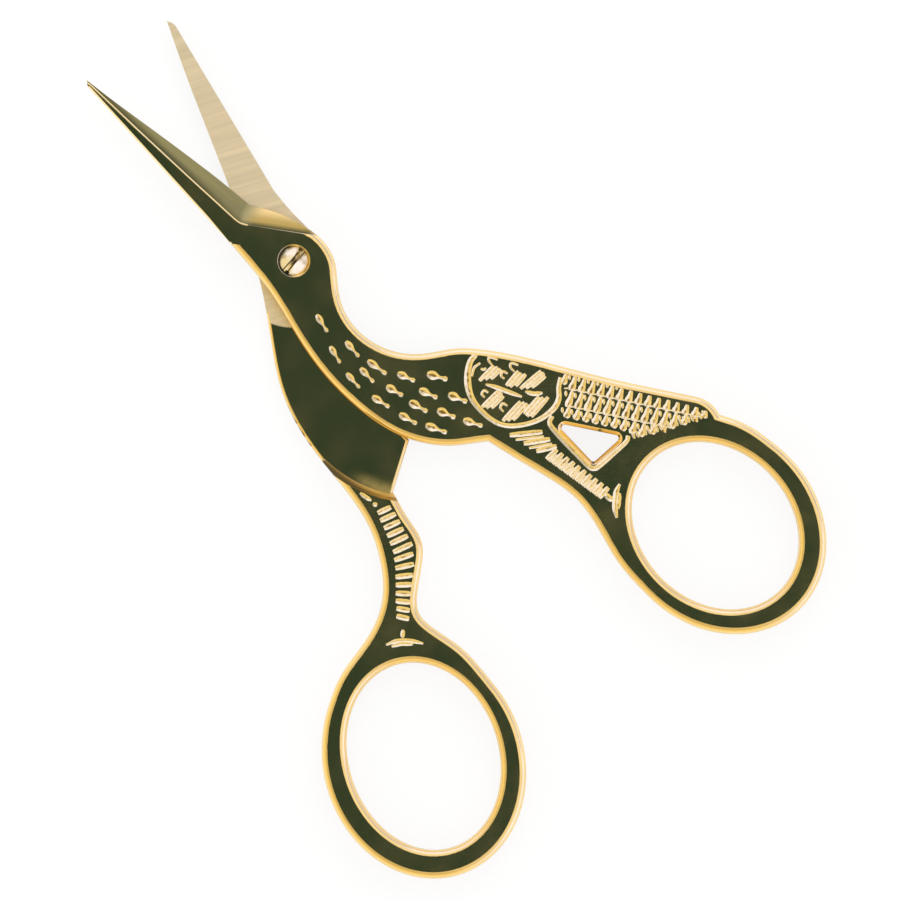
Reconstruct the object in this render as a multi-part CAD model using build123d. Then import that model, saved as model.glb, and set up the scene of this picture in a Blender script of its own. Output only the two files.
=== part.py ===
from build123d import *
import math
import os

# Stork embroidery scissors: two halves that turn on a slotted screw.
# Each half is drawn closed, with the pivot at the origin, the points on +Y and the face that
# carries the bird on +Z. The halves are then turned apart by half the opening angle each.

# Main sizes in millimetres
blade_reach = 27.5
shank_reach = 37.8
thickness = 3.0
bearing_gap = 0.04
opening_angle = 21.16
rim_radius = 0.72

# Finger rings
hole_width = 15.0
hole_length = 18.3
rear_hole_extra = 0.8
front_band_side = 2.4
front_band_end = 2.47
front_ring_tilt = -4.0
front_ring_left = -2.0
rear_band_side = 2.55
rear_band_end = 2.28
rear_ring_tilt = -9.8
rear_ring_right = -1.7
rear_ring_drop = 0.79
front_band_start_angle = 180
front_band_finish_angle = 367
rear_band_start_angle = 155
rear_band_finish_angle = 385

# Blades
edge_angle = 31.5
edge_land = 0.1
grind_hollow = 0.05
grind_bend_radius = 3.0
grind_overreach_share = 1.12
blade_tip_height = 0.15

# Steps where each half doubles its thickness
step_run = 0.65
front_step_angle = 45
shank_rim = 0.3
cutout_reach_share = 0.145
cutout_bevel = 0.35
cutout_corner = 0.35

# Pivot screw
journal_diameter = 1.9
journal_clearance = 0.04
thread_diameter = 1.6
countersink_width = 3.3
head_width = 2.8
head_dome = 0.18
slot_width = 0.42
slot_depth = 0.4
slot_angle = 10.0
overrun = 5.0

# Places as shares of the shank's reach, which runs from the pivot to the top of the front ring
front_throat_shares = ((-0.1017, 0.0000), (-0.1420, -0.1291), (-0.1743, -0.2647),
                       (-0.1815, -0.3744), (-0.1581, -0.5293), (-0.0968, -0.6326))
front_belly_share = (-0.0218, -0.7004)
front_leg_shares = ((-0.0065, -0.7940), (0.0121, -0.8989), (0.0178, -0.9650))
front_back_shares = ((0.2937, -0.7940), (0.1509, -0.5293), (0.1081, -0.4761), (0.0439, -0.4228),
                     (0.0010, -0.3704), (-0.0278, -0.2695), (-0.0113, -0.1856),
                     (0.0250, -0.1323), (0.0718, -0.0791), (0.0909, -0.0194), (0.0855, 0.0484))
front_step_share = (0.0323, -0.5922)
cutout_shares = ((0.1315, -0.8004), (0.1178, -0.9473), (0.2219, -0.9602))

rear_throat_shares = ((-0.1065, -0.0129), (-0.1477, -0.1452), (-0.1888, -0.2905),
                      (-0.1945, -0.3841), (-0.1767, -0.5245), (-0.1549, -0.6455),
                      (-0.1517, -0.7181), (-0.1670, -0.8069), (-0.2114, -0.9037),
                      (-0.2905, -0.9715))
rear_calf_shares = ((-0.0500, -0.7423), (-0.0468, -0.8149), (-0.0710, -0.8634),
                    (-0.1162, -0.9231))
rear_corner_shares = ((0.0492, -0.5608), (-0.0529, -0.6629))
rear_nape_shares = ((0.0794, 0.0210), (0.0710, -0.0403), (0.0452, -0.0952), (0.0048, -0.1485),
                    (-0.0266, -0.2179), (-0.0266, -0.2985), (0.0000, -0.3954))
rear_step_shares = ((-0.1840, -0.5164), (-0.1210, -0.6286), (-0.0508, -0.6915))

# Places on the rings, as shares of the outer half width and half length, from the centre
front_hole_shift_share = (-0.07, 0.11)
rear_hole_shift_share = (0.09, 0.22)
front_shin_shares = ((-0.7989, 0.8087), (-0.9345, 0.4675))
rear_shin_shares = ((-0.3490, 0.9631), (-0.5825, 0.7931))
rear_crotch_shares = ((0.8592, 0.7001), (0.7042, 0.9579), (0.6437, 1.1333))
front_shoulder_shares = ((0.980, 0.300), (0.930, 0.475), (0.855, 0.625))
front_tail_shares = ((0.880, 0.745), (0.835, 0.880))

# Places on the blades, as shares of the blade's reach
front_heel_spine_share = (-0.1040, 0.2145)
front_heel_edge_share = (0.0470, 0.2545)
front_brow_share = (0.0832, 0.1818)
front_edge_shares = ((0.0450, 0.364), (0.0345, 0.545), (0.0200, 0.727), (0.0050, 0.909))
front_tip_shares = ((-0.0160, 0.976), (0.0000, 1.000))
rear_heel_spine_share = (0.0545, 0.260)
rear_heel_edge_share = (-0.0960, 0.250)
rear_edge_shares = ((-0.0710, 0.450), (-0.0545, 0.600), (-0.0244, 0.844))
rear_tip_shares = ((0.0170, 0.955), (-0.0030, 0.989))
rear_spine_shares = ((0.0971, 0.091), (0.0742, 0.167))
front_tang_shares = ((0.0150, 0.175), (-0.0690, 0.160))
rear_tang_shares = ((0.0200, 0.160), (-0.0500, 0.160))

# Grinding lines on a blade's outer face, seen with the edge on the right
front_grind_shares = ((0.142, -0.109), (0.098, 0.036), (-0.033, 0.2415))
rear_grind_shares = ((0.190, -0.120), (0.135, 0.036), (0.018, 0.2415))
front_facet_shares = ((-0.036, 0.233), (-0.094, 0.175), (-0.004, 0.982))
rear_facet_shares = ((-0.010, 0.233), (-0.068, 0.175), (-0.004, 0.975))

half_thickness = (thickness - bearing_gap) / 2
front_bearing_z = thickness - half_thickness
rear_bearing_z = half_thickness


def scaled(share, width, length=None):
    """A point at a share of one size, or of a width and a length."""
    return Vector(share[0] * width, share[1] * (width if length is None else length))


def scaled_all(shares, size):
    return [scaled(share, size) for share in shares]


def smooth(points, start=None, end=None):
    """A curve through the points, which may leave and arrive along given directions."""
    leaving = points[1] - points[0] if start is None else start
    arriving = points[-1] - points[-2] if end is None else end
    return Spline(points, tangents=[leaving, arriving])


class Ring:
    """A finger ring below y = -top beside the line x = edge, on its right for side 1, left for -1."""

    def __init__(self, hole_length, band_side, band_end, tilt, side, edge, top, shift):
        self.tilt = tilt
        self.half_width = hole_width / 2 + band_side
        self.half_length = hole_length / 2 + band_end
        turn = math.radians(tilt)
        half_x = math.hypot(self.half_width * math.cos(turn), self.half_length * math.sin(turn))
        half_y = math.hypot(self.half_length * math.cos(turn), self.half_width * math.sin(turn))
        self.centre = Vector(edge + side * half_x, -top - half_y)
        hole_centre = self.centre + scaled(shift, band_side, band_end)
        oval = Ellipse(hole_width / 2, hole_length / 2, rotation=tilt)
        self.hole = Pos(hole_centre.X, hole_centre.Y) * oval

    def arc(self, start, end):
        """The outer edge between two angles, counterclockwise."""
        return EllipticalCenterArc(self.centre, self.half_width, self.half_length, start,
                                   arc_size=end - start, rotation=self.tilt)

    def at(self, shares):
        """Points at shares of the outer half width and half length from the centre."""
        return [self.centre + scaled(share, self.half_width, self.half_length)
                for share in shares]


def front_ring():
    return Ring(hole_length, front_band_side, front_band_end, front_ring_tilt, 1,
                front_ring_left, shank_reach, front_hole_shift_share)


def rear_ring():
    return Ring(hole_length + rear_hole_extra, rear_band_side, rear_band_end, rear_ring_tilt, -1,
                rear_ring_right, shank_reach + rear_ring_drop, rear_hole_shift_share)


def front_outline(ring):
    """Head, neck, wing, tail, leg and ring, without the blade."""
    heel_spine = scaled(front_heel_spine_share, blade_reach)
    heel_edge = scaled(front_heel_edge_share, blade_reach)
    belly = scaled(front_belly_share, shank_reach)
    band = ring.arc(front_band_start_angle, front_band_finish_angle)
    throat = smooth([heel_spine, *scaled_all(front_throat_shares, shank_reach), belly])
    leg = smooth([belly, *scaled_all(front_leg_shares, shank_reach), *ring.at(front_shin_shares),
                  band @ 0], end=band % 0)
    shoulder = smooth([band @ 1, *ring.at(front_shoulder_shares)], start=band % 1)
    tail = ring.at(front_tail_shares)
    tail_end = ThreePointArc(shoulder @ 1, *tail)
    brow = scaled(front_brow_share, blade_reach)
    back = smooth([tail[1], *scaled_all(front_back_shares, shank_reach), brow, heel_edge],
                  start=tail_end % 1)
    return [throat, leg, band, shoulder, tail_end, back, Line(heel_edge, heel_spine)]


def rear_outline(ring):
    """Shank, leg and ring, without the blade."""
    heel_spine = scaled(rear_heel_spine_share, blade_reach)
    heel_edge = scaled(rear_heel_edge_share, blade_reach)
    upper, lower = scaled_all(rear_corner_shares, shank_reach)
    band = ring.arc(rear_band_start_angle, rear_band_finish_angle)
    throat = smooth([heel_edge, *scaled_all(rear_throat_shares, shank_reach),
                     *ring.at(rear_shin_shares), band @ 0], end=band % 0)
    calf = smooth([band @ 1, *ring.at(rear_crotch_shares),
                   *scaled_all(reversed(rear_calf_shares), shank_reach), lower], start=band % 1)
    nape = smooth([upper, *scaled_all(reversed(rear_nape_shares), shank_reach),
                   *scaled_all(rear_spine_shares, blade_reach), heel_spine])
    return [throat, band, calf, Line(lower, upper), nape, Line(heel_spine, heel_edge)]


def blank(outline, hole):
    """The full thickness, with the rims of both faces rounded off along every curved edge."""
    body = extrude(make_face(outline) - hole, amount=thickness)
    rims = body.edges().filter_by(Plane.XY).filter_by(GeomType.LINE, reverse=True)
    return fillet(rims, rim_radius)


def cutout():
    """The triangle between the leg and the tail, with its rims rounded."""
    corners = scaled_all(cutout_shares, shank_reach)
    return fillet(Polygon(*corners, align=None).vertices(), cutout_corner)


def beyond(origin, normal, size):
    """The space on one side of a plane."""
    return Plane(origin=origin, z_dir=normal) * Box(size, size, size,
                                                    align=(Align.CENTER, Align.CENTER, Align.MIN))


def front_relief():
    """The space under the head and neck where the rear half lies."""
    foot = scaled(front_step_share, shank_reach)
    deep = front_bearing_z + overrun
    block = Box(shank_reach * 2, shank_reach * 2, deep, align=(Align.CENTER, Align.MIN, Align.MAX))
    return Pos(foot.X, foot.Y, front_bearing_z) * Rot(Z=front_step_angle) * block


def rear_relief():
    """The space above the shank where the front half lies, with a sloped end wall."""
    left, middle, right = scaled_all(rear_step_shares, shank_reach)
    across = (right - left).normalized()
    away = Vector(-across.Y, across.X)

    def section(height):
        shift = away * step_run * (thickness - height) / (thickness - rear_bearing_z)
        start = left + shift
        end = right + shift
        wall = ThreePointArc(start, middle + shift, end)
        far = shank_reach
        corners = [end, end + Vector(far, 0), Vector(far, far), Vector(-far, far),
                   start - Vector(far, 0), start]
        return Pos(Z=height) * make_face([wall, Polyline(*corners)])

    return loft([section(rear_bearing_z), section(thickness + overrun)], ruled=True)


def blade(heel_spine, tip, edge, heel_edge, tang, low):
    """A blade of half the thickness, with a tang inside the half that carries it."""
    spine = Line(heel_spine, tip[0])
    nose = smooth(tip, start=spine % 1)
    cutting = smooth([tip[-1], *edge, heel_edge])
    root = Polyline(heel_edge, *tang, heel_spine)
    return Pos(Z=low) * extrude(make_face([spine, nose, cutting, root]), amount=half_thickness)


def edge_grind(path_points, edge_start, edge_end):
    """The hollow-ground space over a cutting edge, which runs out round the head."""
    rise = half_thickness - edge_land
    width = rise / math.tan(math.radians(edge_angle))
    along = (edge_end - edge_start).normalized()
    inward = Vector(-along.Y, along.X)
    start, turn, corner = path_points
    corner = edge_start + inward * width + along * (corner.Y - edge_start.Y)
    finish = corner + along * blade_reach
    path = FilletPolyline(start, turn, corner, finish, radius=grind_bend_radius)
    path = Pos(Z=thickness) * path
    reach = width * grind_overreach_share
    drop = reach * math.tan(math.radians(edge_angle))
    heading = path % 0
    plane = Plane(origin=path @ 0, x_dir=heading.cross(Vector(0, 0, 1)), z_dir=heading)
    slope = math.radians(edge_angle)
    belly = Vector(reach / 2 - grind_hollow * math.sin(slope), drop / 2 + grind_hollow * math.cos(slope))
    ground = ThreePointArc((0, 0), belly, (reach, drop))
    rest = Polyline((reach, drop), (reach, -rise), (0, -rise), (0, 0))
    return sweep(plane * make_face([ground, rest]), path=path)


def spine_facet(shares):
    """The space over the flat that thins a blade from its heel to its tip."""
    first, second, tip = scaled_all(shares, blade_reach)
    top = Vector(0, 0, thickness)
    low = Vector(0, 0, thickness - half_thickness + blade_tip_height)
    normal = (first - second).cross(tip + low - first - top)
    normal = normal if normal.Z > 0 else normal * -1
    return beyond(first + top, normal, blade_reach * 2)


def turned_over(body):
    """The same shape seen from the other face."""
    return body.rotate(Axis((0, 0, thickness / 2), (0, 1, 0)), 180)


def front_half():
    ring = front_ring()
    body = blank(front_outline(ring), ring.hole)
    window = extrude(cutout(), amount=thickness)
    body -= window
    middle = window.center()
    rims = [edge for edge in body.edges().filter_by(Plane.XY)
            if (Vector(edge.center().X, edge.center().Y) - Vector(middle.X, middle.Y)).length
            < cutout_reach_share * shank_reach]
    body = chamfer(rims, cutout_bevel)
    body -= front_relief()
    points = scaled_all((front_heel_spine_share, front_heel_edge_share), blade_reach)
    edge = scaled_all(front_edge_shares, blade_reach)
    body += blade(points[0], scaled_all(front_tip_shares, blade_reach), edge[::-1], points[1],
                  scaled_all(front_tang_shares, blade_reach), front_bearing_z)
    body -= edge_grind(scaled_all(front_grind_shares, blade_reach), edge[0], edge[-1])
    body -= spine_facet(front_facet_shares)
    bore = journal_diameter / 2 + journal_clearance
    body -= Cylinder(bore, thickness, align=(Align.CENTER, Align.CENTER, Align.MIN))
    sink = countersink_width / 2
    body -= Pos(Z=thickness) * Cone(0, sink, sink, align=(Align.CENTER, Align.CENTER, Align.MAX))
    return body.rotate(Axis.Z, opening_angle / 2)


def rear_half():
    ring = rear_ring()
    body = blank(rear_outline(ring), ring.hole)
    body -= rear_relief()
    bearing = body.edges().filter_by(Plane.XY).filter_by_position(
        Axis.Z, rear_bearing_z - bearing_gap, rear_bearing_z + bearing_gap)
    body = fillet(bearing.sort_by(Axis.X)[0], shank_rim)
    points = scaled_all((rear_heel_spine_share, rear_heel_edge_share), blade_reach)
    edge = scaled_all(rear_edge_shares, blade_reach)
    body += blade(points[0], scaled_all(rear_tip_shares, blade_reach), edge[::-1], points[1],
                  scaled_all(rear_tang_shares, blade_reach), 0)
    over = [Vector(-point.X, point.Y) for point in edge]
    body -= turned_over(edge_grind(scaled_all(rear_grind_shares, blade_reach), over[0], over[-1]))
    body -= turned_over(spine_facet(rear_facet_shares))
    body -= Cylinder(thread_diameter / 2, thickness, align=(Align.CENTER, Align.CENTER, Align.MIN))
    return body.rotate(Axis.Z, -opening_angle / 2)


def pivot_screw():
    """Threaded end in the rear half, journal through the front half, domed slotted head."""
    thread = thread_diameter / 2
    journal = journal_diameter / 2
    head = head_width / 2
    cone_foot = thickness - countersink_width / 2 + journal + journal_clearance
    rim = cone_foot + head - journal
    side = Polyline((0, rim + head_dome), (0, 0), (thread, 0), (thread, rear_bearing_z),
                    (journal, rear_bearing_z), (journal, cone_foot), (head, rim))
    dome = TangentArc((0, rim + head_dome), (head, rim), tangent=(1, 0))
    screw = revolve(Plane.XZ * make_face([side, dome]), Axis.Z)
    slot = Box(head_width * 2, slot_width, slot_depth, align=(Align.CENTER, Align.CENTER, Align.MAX))
    turn = slot_angle + opening_angle / 2
    return screw - Pos(Z=rim + head_dome) * Rot(Z=turn) * slot


os.makedirs("parts", exist_ok=True)
export_step(front_half(), "parts/front_half.step")
export_step(rear_half(), "parts/rear_half.step")
export_step(pivot_screw(), "parts/pivot_screw.step")
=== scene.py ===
"""Stork embroidery scissors: struck bird pattern, gold plate, ground blade faces and a small studio."""

import math

import bmesh
import bpy
from bpy.props import FloatProperty, FloatVectorProperty, PointerProperty
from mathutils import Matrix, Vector


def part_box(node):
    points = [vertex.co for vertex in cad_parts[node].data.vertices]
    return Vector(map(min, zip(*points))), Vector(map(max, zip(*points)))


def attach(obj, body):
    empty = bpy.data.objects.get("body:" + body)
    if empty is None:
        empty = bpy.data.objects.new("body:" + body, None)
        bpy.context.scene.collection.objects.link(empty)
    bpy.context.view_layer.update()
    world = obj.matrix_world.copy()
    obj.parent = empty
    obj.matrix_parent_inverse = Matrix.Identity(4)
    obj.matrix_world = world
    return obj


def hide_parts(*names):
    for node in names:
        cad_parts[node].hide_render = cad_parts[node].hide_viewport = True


bl_info = {
    "name": "Stork Embroidery Scissors",
    "version": (1, 0, 0),
    "blender": (4, 5, 0),
    "location": "View3D > Sidebar > Scissors",
    "description": "Strikes the bird pattern into the two halves and finishes them in gold plate",
    "category": "Object",
}

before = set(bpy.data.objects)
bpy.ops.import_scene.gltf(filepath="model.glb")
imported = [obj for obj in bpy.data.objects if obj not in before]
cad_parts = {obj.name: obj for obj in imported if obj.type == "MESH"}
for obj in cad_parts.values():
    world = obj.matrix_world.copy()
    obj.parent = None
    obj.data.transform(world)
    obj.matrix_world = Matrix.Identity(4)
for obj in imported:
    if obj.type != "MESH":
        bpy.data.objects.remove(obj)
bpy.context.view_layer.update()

# Lengths are in millimetres unless they say otherwise; MM turns them into metres.
MM = 0.001
HALF_OPENING = math.radians(10.58)
FRONT_TURN = HALF_OPENING
REAR_TURN = -HALF_OPENING
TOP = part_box("front_half")[1].z / MM
UNDERSIDE = 0.0
# Heights of the ground faces on which the halves meet.
FRONT_BEARING = 1.52
REAR_BEARING = 1.48
# The front blade's back, from its heel to its tip.
FRONT_SPINE = ((-2.86, 5.9), (-0.44, 26.84))
# The ridge of a blade: corner at the heel, tip, cheek beside the screw and the side of the facet.
FRONT_GRIND = ((-0.9, 6.64), (-0.12, 27.0), (2.7, 0.99), 1)
REAR_GRIND = ((0.5, 6.64), (0.1, 27.0), (-3.7, 0.99), -1)
# The rear half's step as an arc through three points, the line from which its painted shade
# lightens, and the line below which a painted glow lies on the flat before it.
REAR_STEP = ((-6.955, -19.52), (-4.574, -23.76), (-1.92, -26.14))
REAR_STEP_FRONT = ((-6.955, -19.52), (-4.574, -25.2))
REAR_GLOW_BORDER = ((-8.0, -20.6), (1.0, -20.6))

# Marks in millimetres, in each half's own closed place: pivot at the origin, points on +Y.
# A feather is a start, an end and a width.
NECK_FEATHERS = (
    ((-2.55, -5.25), (-3.15, -7.2), 0.44),
    ((-4.05, -8.35), (-4.65, -10.2), 0.42),
    ((-2.65, -9.2), (-2.95, -11.2), 0.46),
    ((-5.0, -11.35), (-5.25, -13.3), 0.42),
    ((-3.7, -12.05), (-3.9, -14.0), 0.46),
    ((-2.65, -12.1), (-2.45, -14.4), 0.5),
    ((-5.05, -14.8), (-4.75, -16.8), 0.5),
    ((-3.35, -15.2), (-3.0, -17.05), 0.56),
    ((-1.65, -15.2), (-1.1, -17.0), 0.54),
    ((-4.6, -18.0), (-4.2, -19.95), 0.52),
    ((-3.0, -17.95), (-2.6, -19.95), 0.58),
    ((-1.45, -17.9), (-0.9, -19.8), 0.56),
    ((0.25, -17.45), (1.15, -19.35), 0.62),
    ((-3.7, -20.7), (-2.9, -22.8), 0.56),
    ((-1.8, -20.6), (-1.2, -22.45), 0.6),
    ((0.1, -20.4), (0.75, -22.3), 0.6),
    ((-0.85, -23.2), (-0.05, -25.05), 0.54),
)
WING_EDGE = (
    (4.85, -19.85), (4.0, -19.9), (3.0, -20.45), (2.2, -21.15), (1.55, -22.0), (1.18, -22.9),
    (1.03, -23.9), (1.0, -25.0), (1.22, -26.15), (1.8, -27.15), (2.75, -28.05), (3.85, -28.75),
    (5.0, -29.15), (6.2, -29.25), (7.1, -28.95), (7.75, -28.35), (8.35, -27.95), (8.75, -27.75),
)
# Each barb of the wing is a bundle of lines cut side by side.
WING_BARBS = (
    ((3.15, -21.85), (5.25, -21.95)), ((3.65, -22.2), (5.4, -22.32)), ((4.05, -22.57), (5.45, -22.7)),
    ((1.35, -23.78), (3.65, -23.95)), ((1.55, -24.15), (3.75, -24.3)), ((1.9, -24.53), (3.6, -24.66)),
    ((4.55, -24.2), (6.45, -24.15)), ((4.7, -24.55), (6.5, -24.52)), ((5.15, -24.92), (6.7, -24.9)),
    ((5.25, -25.45), (7.95, -25.85)), ((5.65, -25.85), (8.0, -26.2)), ((6.1, -26.22), (7.85, -26.5)),
    ((1.65, -26.25), (4.3, -26.3)), ((2.0, -26.6), (4.5, -26.64)), ((2.4, -26.95), (4.6, -26.98)),
    ((3.6, -27.4), (5.9, -27.38)), ((3.6, -27.76), (6.1, -27.74)), ((3.85, -28.12), (6.45, -28.1)),
)
WING_VEINS = (
    ((3.3, -22.55), (3.75, -23.5), (4.2, -24.7), (4.75, -26.1)),
    ((5.35, -26.0), (5.75, -26.8), (6.4, -27.4)),
)
WING_CURLS = (
    ((3.0, -21.0), (3.8, -20.6), (4.55, -20.75)),
    ((4.15, -21.15), (4.3, -21.45), (4.55, -21.5)),
    ((5.15, -21.8), (5.3, -21.2), (5.65, -21.1), (5.95, -21.85)),
    ((6.15, -23.9), (6.2, -23.3), (6.6, -23.1), (6.9, -23.75)),
    ((2.25, -23.35), (2.3, -22.9), (2.75, -22.85), (2.85, -23.3)),
    ((4.95, -23.6), (4.95, -23.15), (5.4, -23.0), (5.55, -23.5)),
    ((2.4, -25.7), (2.5, -25.2), (3.0, -25.1), (3.1, -25.6)),
)
# The tail's barbs stand in rows along the back: rows are counted from the back edge inwards.
TAIL_ROW_DIRECTION = (0.486, -0.874)
TAIL_ROW_COUNT = 4
TAIL_ROW_OFFSET = -6.0
TAIL_ROW_PITCH = 1.69
TAIL_BARB_COUNT = 22
TAIL_FIRST_BARB = 26.0
TAIL_BARB_PITCH = 0.965
TAIL_BARB_LENGTH = 1.66
TAIL_OUTLINE = (
    (8.55, -27.7), (9.15, -27.55), (15.85, -40.7), (15.45, -41.35), (12.0, -39.35), (9.3, -37.5),
    (9.05, -36.6), (8.5, -35.2), (5.95, -30.65), (6.15, -29.85), (7.4, -29.4), (8.3, -28.5),
)
TAIL_FRINGE = ((9.0, -37.35), (15.2, -41.3))
TAIL_FRINGE_COUNT = 19
# Raised border of the window between leg and tail.
WINDOW_LINE = (
    (5.3, -29.65), (4.65, -29.85), (4.38, -30.5), (4.2, -32.2), (4.0, -34.3), (3.88, -35.7),
    (4.1, -36.25), (4.6, -36.45), (6.5, -36.7), (8.2, -36.9), (8.8, -36.65),
)
THIGH_LINES = (
    ((1.05, -27.7), (3.45, -29.95)), ((1.1, -28.45), (3.2, -30.35)), ((1.35, -29.3), (3.4, -31.0)),
    ((1.35, -30.0), (3.2, -31.45)), ((1.6, -30.75), (3.3, -31.95)),
)
FRONT_RIB_COUNT = 10
FRONT_RIB_PITCH = 0.73
FRONT_RIB_TOP = ((1.65, -32.05), (3.1, -32.2))
FRONT_RIB_FOOT = ((2.2, -38.55), (3.6, -38.55))
FRONT_FOOT_LINES = (
    ((4.6, -39.2), (3.9, -39.4), (3.1, -39.9), (2.4, -40.5), (1.85, -41.2)),
    ((3.9, -39.75), (3.2, -40.2), (2.6, -40.7)),
    ((2.95, -38.75), (2.85, -39.3), (3.0, -39.8)),
)
# Ribs of the rear leg: the middle of each and its length, from the knee down.
REAR_RIBS = (
    ((-3.6, -26.25), 1.45), ((-3.6, -27.05), 1.7), ((-3.6, -27.9), 1.75), ((-3.65, -28.72), 1.8),
    ((-3.68, -29.55), 1.95), ((-3.72, -30.45), 2.1), ((-4.05, -31.3), 2.0), ((-4.4, -32.15), 1.9),
    ((-4.9, -33.0), 1.75), ((-5.35, -33.75), 1.6), ((-5.8, -34.5), 1.5), ((-6.2, -35.2), 1.45),
    ((-6.55, -35.9), 1.35), ((-6.95, -36.6), 1.3),
)
REAR_RIB_TURN = ((-30.5, 0.0), (-33.5, -22.0), (-36.6, -38.0))
REAR_FOOT_LINES = (
    ((-9.7, -38.25), (-8.6, -38.4), (-7.4, -39.0), (-6.35, -39.85)),
    ((-9.3, -38.65), (-8.3, -38.85), (-7.3, -39.45)),
    ((-7.5, -37.7), (-7.95, -38.4)),
    ((-4.35, -25.2), (-3.95, -25.45)),
    ((-5.75, -21.3), (-5.5, -21.9), (-5.25, -22.6)),
    ((-4.95, -23.6), (-4.65, -24.2), (-4.3, -24.8)),
)

# How deep a cut is, as a share of half its width.
CUT_SLOPE = 0.62
# Widths of the cuts.
BARB_WIDTH = 0.6
SPUR_WIDTH = 0.3
LINK_WIDTH = 0.16
FRINGE_WIDTH = 0.3
WING_EDGE_WIDTH = 0.6
VEIN_WIDTH = 0.46
CURL_WIDTH = 0.27
WINDOW_WIDTH = 0.55
THIGH_WIDTHS = (0.55, 0.3)
FRONT_FOOT_WIDTH = 0.58
FRONT_RIB_WIDTH = 0.52
BETWEEN_RIBS_WIDTH = 0.24
REAR_RIB_WIDTH = 0.56
LINE_WIDTH = 0.44
# How a cut swells and thins from its start to its end, as shares of its width.
POINTED = (0.45, 1.0, 1.0, 1.0, 0.45)
BLUNT = (0.75, 1.0, 1.0, 1.0, 1.0, 0.75)
FEATHER_SHAPE = (0.55, 1.1, 1.3, 1.2, 0.75, 0.4, 0.45, 0.8, 0.5)
BARB_SHAPE = (0.7, 1.3, 1.15, 0.85, 0.8, 0.5)
SPUR_SHAPE = (0.5, 1.0, 1.0, 0.4)
CURL_SHAPE = (0.7, 1.0, 1.0, 0.8)
WING_EDGE_SHAPE = (0.9, 1.2, 0.9, 0.8, 0.8, 1.0, 0.7)
WINDOW_SHAPE = (0.8, 1.1, 0.9, 1.0, 0.8)

# How wide the sharp edges are eased.
SPINE_EASE = 0.17
RIDGE_EASE = 0.1
BELLY_EASE = 0.34
BELLY_STEPS = 5
# Distance in metres within which corners of a mesh are one.
MERGE_DISTANCE = 1e-6
# Height in metres below which a corner of the underside is out by a rounding error only.
LEVEL_ERROR = 1e-8

# Directions of the grinding lines and of the screw's slot.
GRIND_LINES = math.radians(-21)
SCREW_SLOT_TURN = math.radians(10)

# Colours, each pair from dark to light or from one end to the other.
WHITE = (1, 1, 1)
# Painted shade, on the countersink and on the rear half's step.
SHADE = (0.05, 0.045, 0.018)
# Painted shade at the bottom of the deep struck marks.
CUT_BOTTOM_SHADE = (0.32, 0.2, 0.045)
# A painted highlight on the eased edges, from pale cream to gold.
EASED_EDGE_HIGHLIGHT = ((1.0, 0.86, 0.52), (1.0, 0.74, 0.36))
# Painted shade on the edge facet, from the ridge to the edge; at the head, painted shade by the brow,
# then gold.
FACET_SHADE = ((0.11, 0.1, 0.03), (0.34, 0.29, 0.1))
FACET_SHADE_AT_HEAD = ((0.09, 0.08, 0.02), (0.5, 0.33, 0.065))
FACET_AT_BROW = (0.9, 0.62, 0.19)
# Painted shade to painted highlight on the rear half's step.
STEP_SHADE_TO_HIGHLIGHT = ((0.5, 0.32, 0.07), (1.0, 0.78, 0.36))
# A painted glow on the flat before the step.
GLOW = ((0.26, 0.2, 0.05), (0.5, 0.37, 0.1))
# Painted shade in brown patches on the screw head.
SCREW_SHADE_PATCHES = (0.5, 0.36, 0.13)
# Painted shade along the shores of the screw's slot.
SLOT_SHORE_SHADE = (0.1, 0.07, 0.025)
FLOOR = ((0.9, 0.9, 0.89), (0.93, 0.93, 0.92))
# The room that the metal mirrors, from its left to its right side, low down and higher up.
ROOM_LOW = ((1.08, 0.92, 0.56), (1.15, 1.25, 2.2))
ROOM_HIGH = ((0.72, 0.6, 0.34), (1.0, 0.95, 0.85))
DARK_FLAG = (0.3, 0.28, 0.2)

# The stage, in metres.
FLOOR_SIZE = 6
FLOOR_DROP = 0.00003
FLOOR_WHITENESS = 0.86
VIEW_MIDDLE = (0.00052, -0.0245, 0.0015)
VIEW_WIDTH = 0.09
VIEW_ROLL = math.radians(-38.32)


def closed_to_rest(point, turn):
    """A point of a half's closed place, in millimetres, turned to where the half rests open."""
    x, y = point
    return Vector((x * math.cos(turn) - y * math.sin(turn), x * math.sin(turn) + y * math.cos(turn)))


def closed_place(vertex, turn):
    """Where a vertex lies in its half's closed place, in millimetres."""
    return closed_to_rest((vertex.co.x / MM, vertex.co.y / MM), -turn)


def deselect_all():
    bpy.ops.object.select_all(action="DESELECT")


def make_active(piece):
    deselect_all()
    piece.select_set(True)
    bpy.context.view_layer.objects.active = piece


def apply_modifier(piece, kind, **settings):
    """Adds a modifier with its settings and applies it."""
    make_active(piece)
    modifier = piece.modifiers.new(kind.title(), kind)
    for name, value in settings.items():
        setattr(modifier, name, value)
    if "FINISHED" not in bpy.ops.object.modifier_apply(modifier=modifier.name):
        raise RuntimeError(f"{kind} could not be applied to {piece.name}")


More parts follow.
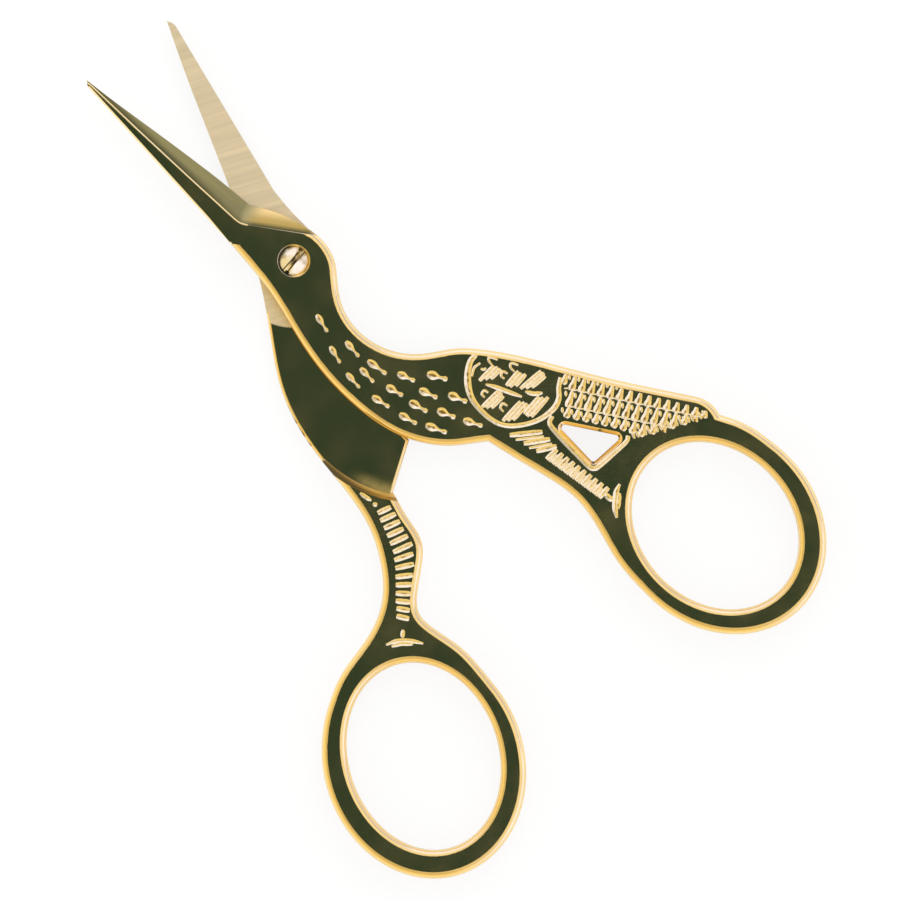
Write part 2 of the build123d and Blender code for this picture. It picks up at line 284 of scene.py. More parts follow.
class Stroke:
    """One V cut of the graver, along some points.

    Its shape gives shares of the full width at even places from the start to the end.
    """

    def __init__(self, points, width, shape=POINTED):
        self.points = [Vector(point) for point in points]
        self.width = width
        self.shape = shape

    def path(self):
        """Points on a smooth line through the stroke's points, each with its share of the length."""
        points = self.points
        padded = [points[0] * 2 - points[1], *points, points[-1] * 2 - points[-2]]
        steps = 8 if len(points) == 2 else 4
        samples = []
        for before, start, end, after in zip(padded, padded[1:], padded[2:], padded[3:]):
            for step in range(steps):
                t = step / steps
                samples.append(0.5 * (2 * start + (end - before) * t
                                      + (2 * before - 5 * start + 4 * end - after) * t * t
                                      + (3 * start - before - 3 * end + after) * t ** 3))
        samples.append(points[-1])
        run = [0.0]
        for start, end in zip(samples, samples[1:]):
            run.append(run[-1] + (end - start).length)
        return [(sample, at / run[-1]) for sample, at in zip(samples, run)]

    def width_at(self, share):
        place = share * (len(self.shape) - 1)
        index = min(int(place), len(self.shape) - 2)
        low, high = self.shape[index:index + 2]
        return self.width * (low + (high - low) * (place - index))

    def spline(self, curve, turn):
        """Adds the stroke to a curve, at height 0."""
        path = self.path()
        line = curve.splines.new("POLY")
        line.points.add(len(path) - 1)
        for place, (point, share) in zip(line.points, path):
            rest = closed_to_rest(point, turn)
            place.co = (rest.x * MM, rest.y * MM, 0, 1)
            place.radius = self.width_at(share) / 2


def make_punch(name, strokes, turn, look):
    """A mesh of square rods on their corners, one for each stroke, flattened onto the top."""
    deselect_all()
    bpy.ops.curve.primitive_nurbs_path_add()
    punch = bpy.context.object
    punch.name = name
    curve = punch.data
    curve.splines.clear()
    curve.dimensions = "3D"
    curve.bevel_depth = MM
    curve.bevel_resolution = 0
    curve.use_fill_caps = True
    for stroke in strokes:
        stroke.spline(curve, turn)
    punch.scale.z = CUT_SLOPE
    punch.location.z = TOP * MM
    bpy.ops.object.convert(target="MESH")
    punch = bpy.context.object
    make_active(punch)
    bpy.ops.object.transform_apply(location=True, rotation=True, scale=True)
    dress(punch, struck_gold(look))
    return punch


def discard(piece):
    mesh = piece.data
    bpy.data.objects.remove(piece)
    bpy.data.meshes.remove(mesh)


def strike(piece, turn, look, top, underside):
    """Cuts the strokes of the top and of the underside into a half, all at one blow.

    Strokes that cross are joined first. That is done at the height of the top, because around
    height 0 the rods' corners would come out a rounding error apart.
    """
    punches = []
    for face, strokes in ((TOP, top), (UNDERSIDE, underside)):
        punch = make_punch("punch", strokes[::2], turn, look)
        others = make_punch("punch_between", strokes[1::2], turn, look)
        apply_modifier(punch, "BOOLEAN", operation="UNION", solver="EXACT", object=others,
                       use_self=True)
        discard(others)
        make_active(punch)
        bpy.ops.transform.translate(value=(0, 0, (face - TOP) * MM))
        bpy.ops.object.transform_apply(location=True)
        punches.append(punch)
    punch, lower = punches
    lower_mesh = lower.data
    make_active(punch)
    lower.select_set(True)
    bpy.ops.object.join()
    bpy.data.meshes.remove(lower_mesh)
    before = len(piece.data.polygons)
    apply_modifier(piece, "BOOLEAN", operation="DIFFERENCE", solver="EXACT", object=punch,
                   material_mode="TRANSFER")
    discard(punch)
    if len(piece.data.polygons) <= before:
        raise RuntimeError(f"the punch left no mark on {piece.name}")


def copy_of_node(node, name):
    """A merged copy of a node's mesh, as a piece of its own."""
    piece = bpy.data.objects.new(name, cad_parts[node].data.copy())
    bpy.context.scene.collection.objects.link(piece)
    make_active(piece)
    bpy.ops.object.mode_set(mode="EDIT")
    bpy.ops.mesh.select_all(action="SELECT")
    bpy.ops.mesh.remove_doubles(threshold=MERGE_DISTANCE)
    bpy.ops.object.mode_set(mode="OBJECT")
    for vertex in piece.data.vertices:
        if abs(vertex.co.z) < LEVEL_ERROR:
            vertex.co.z = 0.0
    return piece


def select_edges(piece, wanted):
    """Goes into edit mode with the edges that wanted(edge) picks; there has to be one."""
    make_active(piece)
    bpy.ops.object.mode_set(mode="EDIT")
    bpy.ops.mesh.select_mode(type="EDGE")
    bpy.ops.mesh.select_all(action="DESELECT")
    mesh = bmesh.from_edit_mesh(piece.data)
    chosen = [edge for edge in mesh.edges if len(edge.link_faces) == 2 and wanted(edge)]
    if not chosen:
        raise RuntimeError(f"no edge to ease on {piece.name}")
    for edge in chosen:
        edge.select = True
    mesh.select_flush_mode()
    bmesh.update_edit_mesh(piece.data)


def upright_beside_level(edge, level):
    """Whether an edge lies between an upright face and one that faces up by more than level."""
    low, high = sorted(face.normal.z for face in edge.link_faces)
    return abs(low) < 0.1 and high > level


def ease_blade_edges(piece):
    """Breaks the sharp edges that catch the light on the front blade: spine, then ridges."""
    heel, tip = map(Vector, FRONT_SPINE)
    along = (tip - heel).normalized()

    def on_spine(edge):
        away = [abs((closed_place(vertex, FRONT_TURN) - heel).cross(along)) for vertex in edge.verts]
        return max(away) < 0.02 and upright_beside_level(edge, 0.5)

    def on_ridge(edge):
        places = [closed_place(vertex, FRONT_TURN) for vertex in edge.verts]
        clear_of_border = all(-1 < place.x < 2.4 and 1.2 < place.y for place in places)
        clear_of_tip = min(place.y for place in places) < 26
        clear_of_screw = min(place.length for place in places) > 2.2
        on_top = min(face.normal.z for face in edge.link_faces) > 0.5
        return (clear_of_border and clear_of_tip and clear_of_screw and on_top
                and edge.calc_face_angle() > math.radians(9))

    for wanted, width in ((on_spine, SPINE_EASE), (on_ridge, RIDGE_EASE)):
        select_edges(piece, wanted)
        bpy.ops.mesh.bevel(offset=width * MM, segments=1, clamp_overlap=False, material=1)
        bpy.ops.object.mode_set(mode="OBJECT")


def ease_belly(piece):
    """Rounds the rim of the rear half's thin belly, between the neck and the step."""
    def on_belly(edge):
        places = [closed_place(vertex, REAR_TURN) for vertex in edge.verts]
        heights = [abs(vertex.co.z / MM - REAR_BEARING) for vertex in edge.verts]
        upper = max(place.y for place in places)
        on_left = max(place.x for place in places) < -3
        below_neck = upper < -7.5 or (upper < -2 and on_left)
        return below_neck and max(heights) < 0.01 and upright_beside_level(edge, 0.9)

    select_edges(piece, on_belly)
    bpy.ops.mesh.bevel(offset=BELLY_EASE * MM, segments=BELLY_STEPS, clamp_overlap=False)
    bpy.ops.object.mode_set(mode="OBJECT")


def polish_normals(piece, broad=3e-6, crease=math.radians(30)):
    """Smooth rims beside true flats: a plane broader than this keeps its normal up to its border.

    Broad is an area in square metres.
    """
    make_active(piece)
    bpy.ops.object.mode_set(mode="EDIT")
    bpy.ops.mesh.select_mode(type="FACE")
    bpy.ops.mesh.select_all(action="SELECT")
    bpy.ops.mesh.remove_doubles(threshold=MERGE_DISTANCE)
    bpy.ops.mesh.dissolve_degenerate(threshold=MERGE_DISTANCE)
    bpy.ops.mesh.quads_convert_to_tris(quad_method="BEAUTY", ngon_method="BEAUTY")
    bpy.ops.mesh.dissolve_degenerate(threshold=MERGE_DISTANCE)
    bpy.ops.object.mode_set(mode="OBJECT")
    bpy.ops.mesh.customdata_custom_splitnormals_clear()
    bpy.ops.object.shade_smooth_by_angle(angle=crease, keep_sharp_edges=False)
    mesh = piece.data
    planes = {}
    for face in mesh.polygons:
        planes.setdefault(tuple(round(part, 3) for part in face.normal), []).append(face)
    flats = {}
    flat_faces = set()
    for faces in planes.values():
        if sum(face.area for face in faces) > broad:
            for face in faces:
                flat_faces.add(face.index)
                for vertex in face.vertices:
                    flats.setdefault(vertex, []).append(face.normal.copy())
    normals = [corner.vector.copy() for corner in mesh.corner_normals]
    for face in mesh.polygons:
        for loop, vertex in zip(face.loop_indices, face.vertices):
            if face.index in flat_faces:
                normals[loop] = face.normal.copy()
                continue
            for normal in flats.get(vertex, ()):
                if normal.angle(face.normal) < crease:
                    normals[loop] = normal
    mesh.normals_split_custom_set(normals)


class Value:
    """A number socket; arithmetic on it adds Math nodes."""

    def __init__(self, tree, socket):
        self.tree = tree
        self.socket = socket

    def maths(self, operation, *values):
        return self.tree.node("ShaderNodeMath", {"operation": operation},
                              dict(enumerate(values))).out("Value")

    def __add__(self, other):
        return self.maths("ADD", self, other)

    def __radd__(self, other):
        return self.maths("ADD", other, self)

    def __sub__(self, other):
        return self.maths("SUBTRACT", self, other)

    def __rsub__(self, other):
        return self.maths("SUBTRACT", other, self)

    def __mul__(self, other):
        return self.maths("MULTIPLY", self, other)

    def __rmul__(self, other):
        return self.maths("MULTIPLY", other, self)

    def __truediv__(self, other):
        return self.maths("DIVIDE", self, other)

    def at_least(self, other):
        return self.maths("MAXIMUM", self, other)

    def size(self):
        """The number without its sign."""
        return self.maths("ABSOLUTE", self)

    def root(self):
        return self.maths("SQRT", self)

    def smooth(self, low, high):
        """0 below low, 1 above high and a smooth rise between."""
        return self.tree.node("ShaderNodeMapRange", {"interpolation_type": "SMOOTHSTEP"},
                              {"Value": self, "From Min": low, "From Max": high}).out("Result")


class Node:
    """A shader node whose outputs come by name or number."""

    def __init__(self, tree, node):
        self.tree = tree
        self.node = node

    def out(self, name=0):
        return Value(self.tree, self.node.outputs[name])


class Tree:
    """The node tree of a material or world, emptied."""

    def __init__(self, owner):
        owner.use_nodes = True
        self.tree = owner.node_tree
        self.tree.nodes.clear()

    def node(self, kind, settings=None, sockets=None):
        """A node with its settings, then the values or links of its sockets."""
        node = self.tree.nodes.new(kind)
        for name, value in (settings or {}).items():
            setattr(node, name, value)
        for name, value in (sockets or {}).items():
            if isinstance(value, Value):
                self.tree.links.new(value.socket, node.inputs[name])
            else:
                node.inputs[name].default_value = value
        return Node(self, node)

    def mix(self, factor, first, second):
        """A colour between two colours."""
        return self.node("ShaderNodeMix", {"data_type": "RGBA"},
                         {0: factor, 6: rgba(first), 7: rgba(second)}).out(2)

    def blend(self, factor, first, second):
        """A shader between two shaders."""
        return self.node("ShaderNodeMixShader", None, {0: factor, 1: first, 2: second}).out()

    def bump(self, height, strength, distance):
        return self.node("ShaderNodeBump", None,
                         {"Height": height, "Strength": strength, "Distance": distance}).out()

    def metal(self, colour, roughness, bump=None, metallic=1.0):
        sockets = {"Base Color": rgba(colour), "Metallic": metallic, "Roughness": roughness}
        if bump is not None:
            sockets["Normal"] = bump
        return self.node("ShaderNodeBsdfPrincipled", None, sockets).out()

    def place(self):
        """Object coordinates, in metres."""
        return self.node("ShaderNodeTexCoord").out("Object")

    def stretched(self, turn, scale):
        """Object coordinates for a grain that runs at an angle, scaled along and across it."""
        sizes = tuple(1 / size for size in scale)
        return self.node("ShaderNodeMapping", {"vector_type": "TEXTURE"},
                         {"Vector": self.place(), "Rotation": (0, 0, turn), "Scale": sizes}).out()

    def noise(self, vector, scale, detail=3.0, roughness=0.5):
        return self.node("ShaderNodeTexNoise", None,
                         {"Vector": vector, "Scale": scale, "Detail": detail,
                          "Roughness": roughness}).out("Fac")

    def axes(self, vector):
        parts = self.node("ShaderNodeSeparateXYZ", None, {0: vector})
        return parts.out("X"), parts.out("Y"), parts.out("Z")

    def finish(self, shader, kind="ShaderNodeOutputMaterial"):
        self.node(kind, None, {"Surface": shader})


def rgba(colour):
    """A colour with full alpha; a socket stays as it is."""
    return colour if isinstance(colour, Value) else (*colour, 1.0)


def darker(colour, share):
    return [part * share for part in colour]


def distance(x, y):
    """How far a place lies from the middle of its coordinates."""
    return (x * x + y * y).root()


def beyond(x, y, start, end, turn, side):
    """How far a place lies beyond a line of the closed half, in millimetres."""
    first = closed_to_rest(start, turn)
    second = closed_to_rest(end, turn)
    across = Vector((second.y - first.y, first.x - second.x)).normalized() * side
    return (x - first.x) * across.x + (y - first.y) * across.y


def level_with(z, height):
    """1 at a height in millimetres and 0 above and below it."""
    gap = z - height
    return 1 - (gap * gap).smooth(0.0008, 0.0014)


def circle_through(first, second, third):
    """Centre and radius of the circle through three points."""
    a, b = second - first, third - first
    turn = 2 * a.cross(b)
    offset = Vector((b.y * a.length_squared - a.y * b.length_squared,
                     a.x * b.length_squared - b.x * a.length_squared)) / turn
    return first + offset, offset.length


def gold_shader(tree, look):
    """Polished plate: faint hairlines in two directions, handling marks and soft tarnish."""
    hairlines = tree.noise(tree.stretched(0.6, (900.0, 60.0, 900.0)), 4.0, 4.0, 0.6)
    swirls = tree.noise(tree.stretched(-0.5, (70.0, 800.0, 800.0)), 4.0, 4.0, 0.6)
    smudge = tree.noise(tree.place(), 240.0, 4.0, 0.55)
    tone = tree.mix(smudge.smooth(0.35, 0.7), look.gold_colour, darker(look.gold_colour, 0.93))
    bump = tree.bump(hairlines * 0.5 + swirls * 0.5, 0.035, 0.00002)
    return tree.metal(tone, smudge.smooth(0.3, 0.75) * 0.07 + look.gold_roughness, bump)


def ground_shader(tree, look):
    """A blade face ground across its length, with uneven bands left by the wheel."""
    lines = tree.noise(tree.stretched(GRIND_LINES, (60.0, 2600.0, 200.0)), 1.0, 5.0, 0.65)
    bands = tree.noise(tree.stretched(GRIND_LINES - 0.12, (25.0, 700.0, 25.0)), 1.0, 2.0, 0.5)
    light = look.ground_colour
    tone = tree.mix(lines.smooth(0.25, 0.75), darker(light, 0.86), light)
    tone = tree.mix(bands.smooth(0.35, 0.68) * 0.35, tone, darker(light, 0.8))
    bump = tree.bump(lines + bands * 0.6, 0.5, 0.00003)
    return tree.metal(tone, lines * 0.12 + 0.55, bump)


def struck_gold(look):
    """The bright metal inside the struck marks, with painted shade at the bottom of the deep ones."""
    if "struck_gold" in bpy.data.materials:
        return bpy.data.materials["struck_gold"]
    material = bpy.data.materials.new("struck_gold")
    tree = Tree(material)
    place = tree.place()
    grain = tree.noise(place, 2600.0, 2.0)
    patches = tree.noise(place, 2200.0, 2.0)
    height = tree.axes(place)[2] / MM
    depth = TOP / 2 - (height - TOP / 2).size()
    # Painted shade: darker towards the bottom of the deepest cuts, its edge broken by noise.
    deep_shade = (depth + (patches - 0.5) * 0.3).smooth(0.14, 0.24)
    tone = tree.mix(deep_shade, look.struck_colour, CUT_BOTTOM_SHADE)
    tree.finish(tree.metal(tone, grain * 0.1 + 0.1, tree.bump(grain, 0.6, 0.0001)))
    return material


def eased_edge_highlight():
    """The bright line where a blade's edge is eased: a real bevel, in a pale colour that is a painted
    highlight broken by noise.
    """
    material = bpy.data.materials.new("eased_edge_highlight")
    tree = Tree(material)
    # Painted highlight, broken by noise.
    broken_highlight = tree.noise(tree.place(), 1200.0)
    tree.finish(tree.metal(tree.mix(broken_highlight, *EASED_EDGE_HIGHLIGHT), 0.25))
    return material


def step_painted_light(tree, x, y, z, shader):
    """Painted light and shade on the rear half's sloped step: a bright foot, a brown slope, shade at
    its front, a glow on the flat before it.
    """
    centre, radius = circle_through(*(closed_to_rest(point, REAR_TURN) for point in REAR_STEP))
    rise = radius - distance(x - centre.x, y - centre.y)
    beside = beyond(x, y, REAR_STEP[0], REAR_STEP[2], REAR_TURN, -1).smooth(-3.0, -2.9)
    span = beyond(x, y, *REAR_STEP_FRONT, REAR_TURN, -1)
    low = beyond(x, y, *REAR_GLOW_BORDER, REAR_TURN, 1).smooth(0.0, 2.2)
    noise = tree.noise(tree.place(), 1300.0)

    # A painted glow: a pool of painted light on the flat before the step.
    near = rise.smooth(0.6, 0.7) * (1 - rise.smooth(0.7, 2.6)) * low
    glowing = near * near * span.smooth(0.4, 2.0) * level_with(z, REAR_BEARING) * 0.85
    glow = tree.metal(tree.mix(noise, *GLOW), 0.45, metallic=0.0)
    shader = tree.blend(glowing, shader, glow)

    # Painted light and shade on the step's slope: brown to a bright foot, in painted shade at its
    # front.
    slope = rise.smooth(-0.04, 0.03) * (1 - rise.smooth(0.62, 0.68))
    raised = z.smooth(REAR_BEARING + 0.01, REAR_BEARING + 0.06)
    ragged = rise + (noise - 0.5) * 0.14
    tone = tree.mix(ragged.smooth(0.22, 0.45), *STEP_SHADE_TO_HIGHLIGHT)
    tone = tree.mix(span.smooth(0.2, 1.6), SHADE, tone)
    return tree.blend(slope * raised * beside, shader, tree.metal(tone, 0.3))


def countersink_painted_shade(tree, x, y, z, shader):
    """The countersink round the screw gets painted shade on its left, as the screw's shade."""
    reach = distance(x, y)
    left = ((y * 0.62 - x * 0.78) / reach).smooth(-0.3, 0.45)
    ring = (1 - reach.smooth(1.58, 1.64)) * z.smooth(2.0, 2.1)
    return tree.blend(ring * left, shader, tree.metal(SHADE, 0.3))


def gold_with_ground_face(name, look, bearing, turn, grind, own_painted_light):
    """Gold plate, ground bare on the face that meets the other half; the edge facet is a little dull
    and darkened with painted shade.

    The facet lies beyond the ridge that grind gives. Own_painted_light adds the painted light and
    shade that only this half has.
    """
    material = bpy.data.materials.new(name)
    tree = Tree(material)
    x, y, z = (axis / MM for axis in tree.axes(tree.place()))
    along = y * math.cos(turn) - x * math.sin(turn)
    level = level_with(z, bearing)
    round_screw = 1 - distance(x, y).smooth(6.55, 6.75)
    ground = level * along.smooth(-0.5, 0.5).at_least(round_screw)
    shader = tree.blend(ground, gold_shader(tree, look), ground_shader(tree, look))

    corner, tip, cheek, side = grind
    beyond_ridge = beyond(x, y, corner, tip, turn, side)
    beyond_brow = beyond(x, y, cheek, corner, turn, side)
    # Painted shade on the edge facet: darkest at the ridge, and at the head darkest by the brow.
    tone = tree.mix(beyond_ridge.smooth(0.0, 0.9), *FACET_SHADE)
    head = tree.mix(beyond_brow.smooth(0.05, 0.7), *FACET_SHADE_AT_HEAD)
    head = tree.mix(beyond_brow.smooth(0.7, 1.9), head, FACET_AT_BROW)
    tone = tree.mix(1 - along.smooth(5.2, 7.2), tone, head)
    facet = beyond_ridge.smooth(0.0, 0.06) * beyond_brow.smooth(0.0, 0.06)
    facet = facet * (1 - level) * along.smooth(-0.6, 1.0)
    shader = tree.blend(facet, shader, tree.metal(tone, 0.24))
    tree.finish(own_painted_light(tree, x, y, z, shader))
    return material


def screw_plate(look):
    """Plate on the screw: painted shade on the shores of its slot and in brown patches on the head,
    which falls away from the slot.
    """
    material = bpy.data.materials.new("screw_plate")
    tree = Tree(material)
    place = tree.place()
    x, y, _ = tree.axes(place)
    across = (y * math.cos(SCREW_SLOT_TURN) - x * math.sin(SCREW_SLOT_TURN)) / MM
    away = across.size()
    lumps = tree.noise(place, 900.0, 1.0)
    # Brown patches of painted shade on the head.
    tone = tree.mix(lumps.smooth(0.5, 0.66), look.screw_colour, SCREW_SHADE_PATCHES)
    # Painted shade along both shores of the slot.
    shore_shade = away.smooth(0.12, 0.2) * (1 - away.smooth(0.25, 0.33))
    tone = tree.mix(shore_shade, tone, SLOT_SHORE_SHADE)
    tree.finish(tree.metal(tone, 0.3, tree.bump(lumps * 0.16 - away * 0.42, 1.0, MM)))
    return material


def dress(piece, material):
    piece.data.materials.clear()
    piece.data.materials.append(material)


def inside(point, outline):
    """Whether a point lies within a closed outline."""
    within = False
    for (x0, y0), (x1, y1) in zip(outline, outline[1:] + outline[:1]):
        if (y0 > point.y) != (y1 > point.y):
            if point.x < x0 + (point.y - y0) * (x1 - x0) / (y1 - y0):
                within = not within
    return within


def clipped(start, end, outline, least=0.3):
    """The part of a line that lies within an outline, found by walking along it; None if short."""
    steps = 40
    places = [start.lerp(end, step / steps) for step in range(steps + 1)]
    kept = [place for place in places if inside(place, outline)]
    if not kept or (kept[-1] - kept[0]).length < least:
        return None
    return kept[0], kept[-1]


def tail_strokes():
    """The barbs of the tail, row by row, each with a short stroke beside its outer end."""
    along = Vector(TAIL_ROW_DIRECTION).normalized()
    across = Vector((-along.y, along.x))
    strokes = []
    for row in range(TAIL_ROW_COUNT):
        offset = TAIL_ROW_OFFSET - row * TAIL_ROW_PITCH
        for step in range(TAIL_BARB_COUNT):
            at = TAIL_FIRST_BARB + step * TAIL_BARB_PITCH
            middle = across * offset + along * at
            start = middle - across * TAIL_BARB_LENGTH * 0.55 - along * 0.12
            end = middle + across * TAIL_BARB_LENGTH * 0.45 + along * 0.08
            kept = clipped(end, start, TAIL_OUTLINE)
            if kept:
                bow = kept[0].lerp(kept[1], 0.5) + along * 0.05
                strokes.append(Stroke((kept[0], bow, kept[1]), BARB_WIDTH, BARB_SHAPE[::-1]))
            spur = clipped(end + along * 0.3 - across * 0.1, middle + along * 0.52 + across * 0.1,
                           TAIL_OUTLINE)
            if spur:
                strokes.append(Stroke(spur, SPUR_WIDTH, SPUR_SHAPE))
            link = middle - across * TAIL_BARB_LENGTH * 0.52 + along * 0.15
            if inside(link, TAIL_OUTLINE) and inside(link + along * 0.6, TAIL_OUTLINE):
                bend = link + along * 0.35 + across * 0.12
                strokes.append(Stroke((link, bend, link + along * 0.65), LINK_WIDTH))
    start, end = map(Vector, TAIL_FRINGE)
    for step in range(TAIL_FRINGE_COUNT):
        at = start.lerp(end, step / (TAIL_FRINGE_COUNT - 1))
        strokes.append(Stroke((at, at + Vector((0.35, 0.75))), FRINGE_WIDTH))
    return strokes


def front_rib_strokes():
    """The ribs of the front leg, with a fine line under each but the last."""
    strokes = []
    top_left, top_right = map(Vector, FRONT_RIB_TOP)
    foot_left, foot_right = map(Vector, FRONT_RIB_FOOT)
    down = Vector((0, -FRONT_RIB_PITCH / 2))
    shorter = Vector((0.4, 0))
    for index in range(FRONT_RIB_COUNT):
        share = index / (FRONT_RIB_COUNT - 1)
        left = top_left.lerp(foot_left, share)
        right = top_right.lerp(foot_right, share)
        strokes.append(Stroke((left, right), FRONT_RIB_WIDTH, BLUNT))
        if index < FRONT_RIB_COUNT - 1:
            strokes.append(Stroke((left + down, right + down - shorter), BETWEEN_RIBS_WIDTH, BLUNT))
    return strokes


def rib_turn(y):
    """How far a rear rib is turned, from a short table by height."""
    for (y0, turn0), (y1, turn1) in zip(REAR_RIB_TURN, REAR_RIB_TURN[1:]):
        if y1 <= y <= y0:
            return math.radians(turn0 + (turn1 - turn0) * (y0 - y) / (y0 - y1))
    return math.radians(REAR_RIB_TURN[0][1] if y > REAR_RIB_TURN[0][0] else REAR_RIB_TURN[-1][1])


def rear_leg_strokes():
    """The ribs and the foot of the rear leg, the same on both faces."""
    strokes = []
    for (x, y), length in REAR_RIBS:
        turn = rib_turn(y) - math.radians(3)
        half = Vector((math.cos(turn), math.sin(turn))) * length / 2
        middle = Vector((x, y))
        strokes.append(Stroke((middle - half, middle + half), REAR_RIB_WIDTH, BLUNT))
    strokes += [Stroke(points, LINE_WIDTH) for points in REAR_FOOT_LINES]
    return strokes


def front_handle_strokes():
    """Wing, tail, thigh, leg and foot, the same on both faces."""
    strokes = tail_strokes() + front_rib_strokes()
    strokes += [Stroke(points, LINE_WIDTH, BLUNT) for points in WING_BARBS]
    strokes += [Stroke(points, VEIN_WIDTH) for points in WING_VEINS]
    strokes += [Stroke(points, CURL_WIDTH, CURL_SHAPE) for points in WING_CURLS]
    strokes.append(Stroke(WING_EDGE, WING_EDGE_WIDTH, WING_EDGE_SHAPE))
    strokes += [Stroke(points, THIGH_WIDTHS[index % 2], BLUNT)
                for index, points in enumerate(THIGH_LINES)]
    strokes += [Stroke(points, FRONT_FOOT_WIDTH) for points in FRONT_FOOT_LINES]
    strokes.append(Stroke(WINDOW_LINE, WINDOW_WIDTH, WINDOW_SHAPE))
    return strokes


class EngravingSizes(bpy.types.PropertyGroup):
    """Sizes of the struck pattern."""

    feather_scale: FloatProperty(name="Feather width", default=1.15, min=0.2, max=2,
                                 description="Width of the neck's feather marks, as a factor")


class ScissorsLook(bpy.types.PropertyGroup):
    """Colours and polish."""

    gold_colour: FloatVectorProperty(
        name="Gold", description="Colour of the gold plate", subtype="COLOR", size=3, min=0, max=1,
        default=(0.97, 0.72, 0.32))
    gold_roughness: FloatProperty(
        name="Gold roughness", description="Blur of the gold's reflections", default=0.1, min=0,
        max=1, subtype="FACTOR")
    struck_colour: FloatVectorProperty(
        name="Struck marks", description="Colour of the bright metal inside the struck marks",
        subtype="COLOR", size=3, min=0, max=1, default=(0.9, 0.73, 0.36))
    ground_colour: FloatVectorProperty(
        name="Ground face", description="Colour of the blade's ground inner face",
        subtype="COLOR", size=3, min=0, max=1, default=(1.0, 0.89, 0.65))
    screw_colour: FloatVectorProperty(
        name="Screw", description="Colour of the pivot screw", subtype="COLOR", size=3, min=0,
        max=1, default=(1.0, 0.9, 0.62))


class StudioLook(bpy.types.PropertyGroup):
    """Light, floor and camera."""

    key_radiance: FloatProperty(name="Key light", description="Brightness of the large soft light",
                                default=2.2, min=0)
    fill_radiance: FloatProperty(name="Fill light", description="Brightness of the low soft light",
                                 default=0.9, min=0)
    card_colour: FloatVectorProperty(
        name="Overhead card", description="Colour of the dark card over the scissors",
        subtype="COLOR", size=3, min=0, max=1, default=(0.027, 0.055, 0.05))
    camera_height: FloatProperty(name="Camera height", description="Height of the camera",
                                 default=1.5, unit="LENGTH")


class SCISSORS_OT_front_half(bpy.types.Operator):
    """Strikes the bird's feathers, wing, tail and legs into the front half"""

    bl_idname = "scissors.front_half"
    bl_label = "Front half"

    def execute(self, context):
        sizes = context.scene.stork_engraving
        look = context.scene.stork_look
        piece = copy_of_node("front_half", "stork_half")
        dress(piece, gold_with_ground_face("front_gold_plate", look, FRONT_BEARING, FRONT_TURN,
                                           FRONT_GRIND, countersink_painted_shade))
        piece.data.materials.append(eased_edge_highlight())
        feathers = [Stroke((start, end), width * sizes.feather_scale, FEATHER_SHAPE)
                    for start, end, width in NECK_FEATHERS]
        handle = front_handle_strokes()
        strike(piece, FRONT_TURN, look, feathers + handle, handle)
        ease_blade_edges(piece)
        polish_normals(piece)
        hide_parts("front_half")
        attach(piece, "front")
        return {"FINISHED"}


class SCISSORS_OT_rear_half(bpy.types.Operator):
    """Strikes the leg's ribs and foot into the rear half"""

    bl_idname = "scissors.rear_half"
    bl_label = "Rear half"

    def execute(self, context):
        look = context.scene.stork_look
        piece = copy_of_node("rear_half", "shank_half")
        dress(piece, gold_with_ground_face("rear_gold_plate", look, REAR_BEARING, REAR_TURN,
                                           REAR_GRIND, step_painted_light))
        strokes = rear_leg_strokes()
        strike(piece, REAR_TURN, look, strokes, strokes)
        ease_belly(piece)
        polish_normals(piece)
        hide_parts("rear_half")
        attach(piece, "rear")
        return {"FINISHED"}


class SCISSORS_OT_pivot_screw(bpy.types.Operator):
    """Gives the pivot screw its plated finish"""

    bl_idname = "scissors.pivot_screw"
    bl_label = "Pivot screw"

    def execute(self, context):
        piece = copy_of_node("pivot_screw", "slotted_pivot_screw")
        polish_normals(piece)
        dress(piece, screw_plate(context.scene.stork_look))
        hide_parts("pivot_screw")
        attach(piece, "rear")
        return {"FINISHED"}


def add_floor():
    """A wide pale floor that looks white and keeps a soft shadow."""
    bpy.ops.mesh.primitive_plane_add(size=FLOOR_SIZE, location=(0, 0, -FLOOR_DROP))
    floor = bpy.context.object
    floor.name = "floor"
    material = bpy.data.materials.new("pale_floor")
    tree = Tree(material)
    tone = tree.mix(tree.noise(tree.place(), 900.0, 2.0), *FLOOR)
    matte = tree.node("ShaderNodeBsdfDiffuse", None, {"Color": tone}).out()
    white = tree.node("ShaderNodeEmission", None, {"Color": rgba(WHITE), "Strength": 1.0}).out()
    path = tree.node("ShaderNodeLightPath")
    seen = path.out("Is Camera Ray").at_least(path.out("Is Transmission Ray"))
    tree.finish(tree.blend(seen * FLOOR_WHITENESS, matte, white))
    dress(floor, material)


def add_soft_light(name, location, size, radiance, colour):
    """A square soft light that looks at the scissors."""
    bpy.ops.object.light_add(type="AREA", location=location)
    light = bpy.context.object
    light.name = name
    light.data.shape = "SQUARE"
    light.data.size = size
    light.data.energy = radiance * math.pi * size * size
    light.data.color = colour
    light.rotation_euler = (-Vector(location)).to_track_quat("-Z", "Y").to_euler()
    light.visible_glossy = False


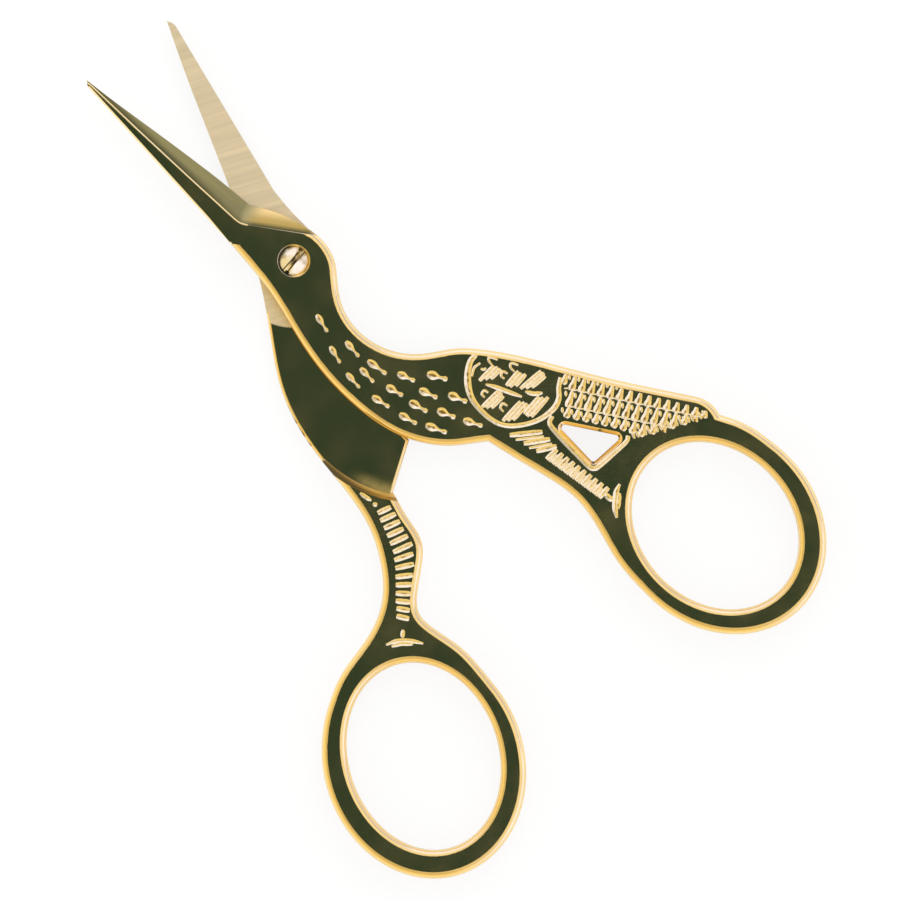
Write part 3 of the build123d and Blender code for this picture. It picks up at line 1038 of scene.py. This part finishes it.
def add_world(studio):
    """White to the camera; to the metal, a bright room with a dark card overhead.

    The room is cool and bright towards +X, warm and dimmer towards -X.
    """
    world = bpy.data.worlds.new("studio")
    bpy.context.scene.world = world
    tree = Tree(world)
    x, y, z = tree.axes(tree.node("ShaderNodeTexCoord").out("Generated"))
    side = x.smooth(-0.5, 0.35)
    room = tree.mix(z.smooth(0.3, 0.75), tree.mix(side, *ROOM_LOW), tree.mix(side, *ROOM_HIGH))
    flag = x.smooth(0.8, 0.86) * z.smooth(0.1, 0.2) * (1 - z.smooth(0.6, 0.66))
    room = tree.mix(flag * 0.6, room, DARK_FLAG)
    card = (z * 0.99 + y * 0.12 - x * 0.06).smooth(0.945, 0.968)
    room = tree.mix(card, room, studio.card_colour)
    colour = tree.mix(tree.node("ShaderNodeLightPath").out("Is Glossy Ray"), WHITE, room)
    background = tree.node("ShaderNodeBackground", None, {"Color": colour}).out()
    tree.finish(background, "ShaderNodeOutputWorld")


def add_camera(studio):
    """Straight above, turned so that the points lie at the upper left."""
    location = Vector(VIEW_MIDDLE) + Vector((0, 0, studio.camera_height))
    bpy.ops.object.camera_add(location=location, rotation=(0, 0, VIEW_ROLL))
    camera = bpy.context.object
    camera.data.sensor_width = 36
    camera.data.lens = camera.data.sensor_width / VIEW_WIDTH * studio.camera_height
    camera.data.clip_start = 0.05
    camera.data.clip_end = 20
    bpy.context.scene.camera = camera


class SCISSORS_OT_stage(bpy.types.Operator):
    """Sets up the floor, the soft lights, the room and the camera"""

    bl_idname = "scissors.stage"
    bl_label = "Stage"

    def execute(self, context):
        studio = context.scene.stork_studio
        deselect_all()
        add_floor()
        add_soft_light("key", (0.55, 0.35, 0.5), 0.5, studio.key_radiance, (1.0, 0.98, 0.95))
        add_soft_light("fill", (-0.6, 0.1, 0.35), 0.4, studio.fill_radiance, (1.0, 0.93, 0.8))
        add_world(studio)
        add_camera(studio)
        context.scene.view_settings.view_transform = "Standard"
        return {"FINISHED"}


class SCISSORS_PT_panel(bpy.types.Panel):
    """Lists the steps that dress the scissors"""

    bl_idname = "SCISSORS_PT_panel"
    bl_label = "Stork Scissors"
    bl_space_type = "VIEW_3D"
    bl_region_type = "UI"
    bl_category = "Scissors"

    def draw(self, context):
        layout = self.layout
        for group in (context.scene.stork_engraving, context.scene.stork_look,
                      context.scene.stork_studio):
            for name in group.__annotations__:
                layout.prop(group, name)
        for step in STEPS:
            layout.operator(step.bl_idname)


STEPS = (SCISSORS_OT_front_half, SCISSORS_OT_rear_half, SCISSORS_OT_pivot_screw, SCISSORS_OT_stage)
GROUPS = {"stork_engraving": EngravingSizes, "stork_look": ScissorsLook, "stork_studio": StudioLook}
CLASSES = (*GROUPS.values(), *STEPS, SCISSORS_PT_panel)


def register():
    for cls in CLASSES:
        bpy.utils.register_class(cls)
    for name, group in GROUPS.items():
        setattr(bpy.types.Scene, name, PointerProperty(type=group))


def unregister():
    for name in GROUPS:
        delattr(bpy.types.Scene, name)
    for cls in reversed(CLASSES):
        bpy.utils.unregister_class(cls)


def main():
    register()
    bpy.ops.scissors.front_half()
    bpy.ops.scissors.rear_half()
    bpy.ops.scissors.pivot_screw()
    bpy.ops.scissors.stage()


if __name__ == "__main__":
    main()
